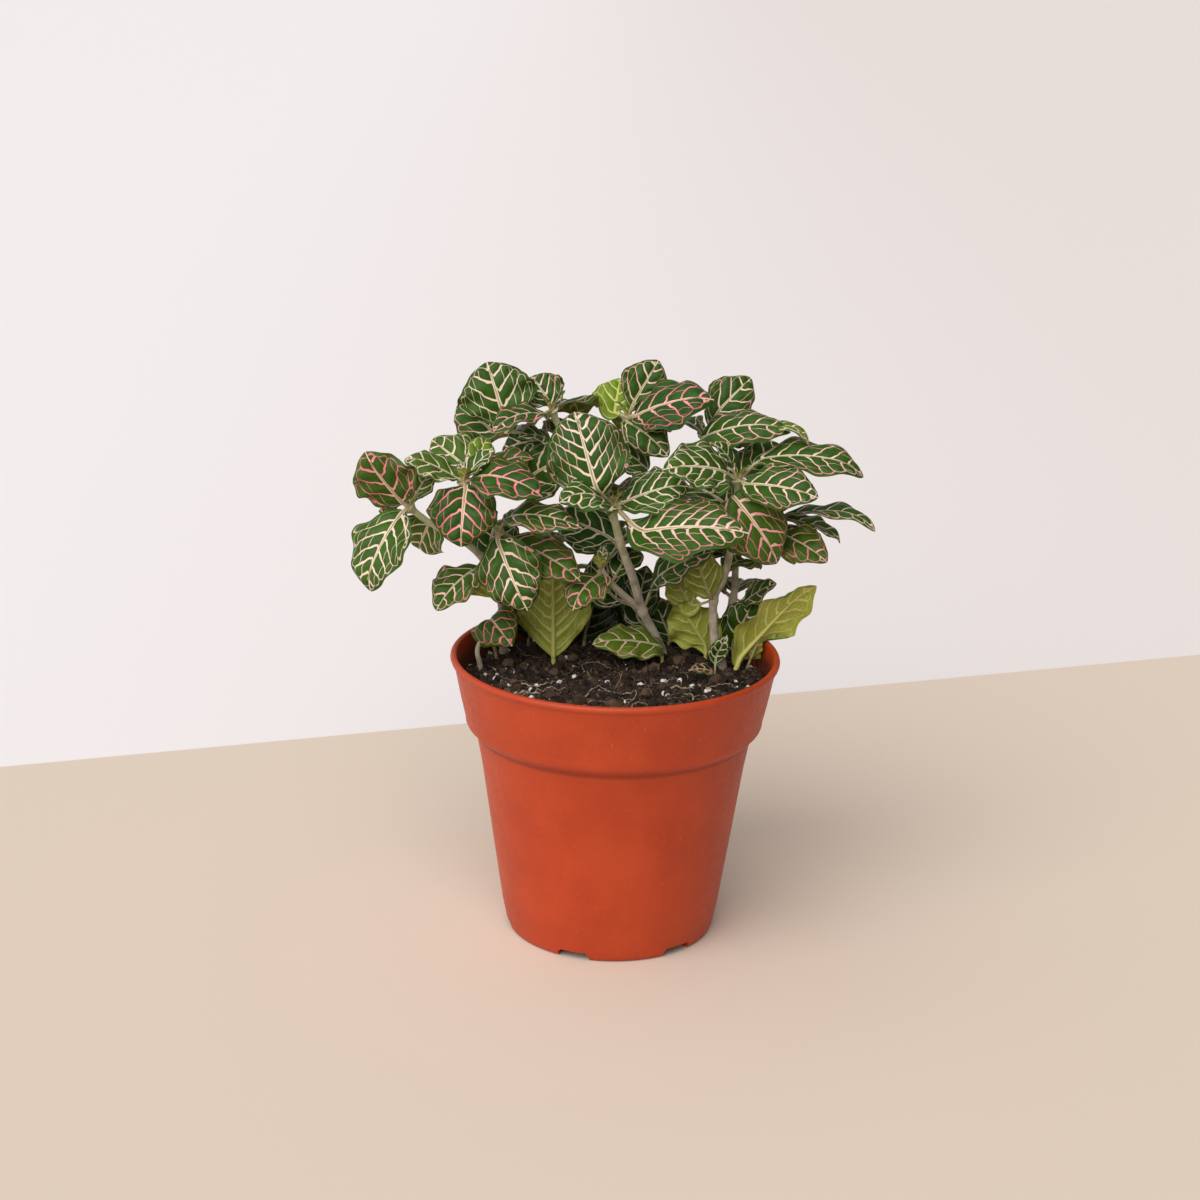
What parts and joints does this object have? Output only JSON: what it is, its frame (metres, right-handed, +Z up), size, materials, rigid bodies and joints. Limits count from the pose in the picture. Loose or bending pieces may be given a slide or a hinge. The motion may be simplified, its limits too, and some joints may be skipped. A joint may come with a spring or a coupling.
{
  "type": "potted nerve plant",
  "caption": "Small bushy nerve plant with net-veined green leaves on upright branching stems, rooted in compost in a tapered plastic nursery pot with a deep collar and a lipped rim.",
  "frame": {"origin": "centre of the pot's flat foot, on the surface it stands on", "axes": "+Z up along the pot's axis, -Y towards the front where the compost shows, +X to the right seen from the front"},
  "size_m": [0.1889, 0.1285, 0.2062],
  "materials": {
    "terracotta_plastic": "terracotta-coloured moulded plastic, fine satin",
    "compost": "dark crumbly peat with pale perlite grains",
    "stem_skin": "grey-brown, softly hairy",
    "leaf_green": "dark green blade with pink and cream veins, soft sheen",
    "leaf_olive": "pale olive underside or old leaf with yellowish veins"
  },
  "bodies": {
    "root": {"pot": "terracotta_plastic", "soil": "compost", "stem_left": "stem_skin", "stem_front": "stem_skin", "stem_back": "stem_skin", "stem_right": "stem_skin", "stem_far_right": "stem_skin", "stem_rear": "stem_skin", "leaf_left_up": "leaf_green", "leaf_left_down": "leaf_green", "leaf_left_behind": "leaf_green", "leaf_left_cream": "leaf_green", "leaf_left_shaded": "leaf_green", "leaf_left_arched": "leaf_green", "leaf_left_facing": "leaf_green", "leaf_left_low": "leaf_green", "leaf_inner_right": "leaf_green", "leaf_inner_down": "leaf_green", "leaf_inner_top": "leaf_green", "leaf_rim_left": "leaf_green", "leaf_centre": "leaf_green", "leaf_front_long": "leaf_green", "leaf_front_upper": "leaf_green", "leaf_front_left": "leaf_green", "leaf_front_narrow": "leaf_green", "leaf_middle_low": "leaf_green", "leaf_top_left_curled": "leaf_green", "leaf_top_left_front": "leaf_green", "leaf_middle_back": "leaf_green", "leaf_top_left": "leaf_green", "leaf_top_left_behind": "leaf_green", "leaf_top_drooping": "leaf_green", "leaf_top_back": "leaf_green", "leaf_top_middle": "leaf_green", "leaf_top_right": "leaf_green", "leaf_right_left": "leaf_green", "leaf_right_front": "leaf_green", "leaf_right_under": "leaf_green", "leaf_right_small": "leaf_green", "leaf_right_far": "leaf_green", "leaf_right_turned": "leaf_olive", "leaf_far_long": "leaf_green", "leaf_far_front": "leaf_green", "leaf_far_inner": "leaf_green", "leaf_rear_up": "leaf_green", "leaf_rear_long": "leaf_green", "leaf_rear_flat": "leaf_green", "leaf_low_upright": "leaf_olive", "leaf_low_middle": "leaf_olive", "leaf_low_right": "leaf_olive", "leaf_low_wavy": "leaf_olive", "leaf_low_back": "leaf_green", "leaf_behind_top": "leaf_green", "leaf_behind_left": "leaf_green", "leaf_behind_middle": "leaf_green", "leaf_behind_right": "leaf_green", "leaf_behind_low_right": "leaf_green", "leaf_behind_low_left": "leaf_green"}
  },
  "joints": []
}
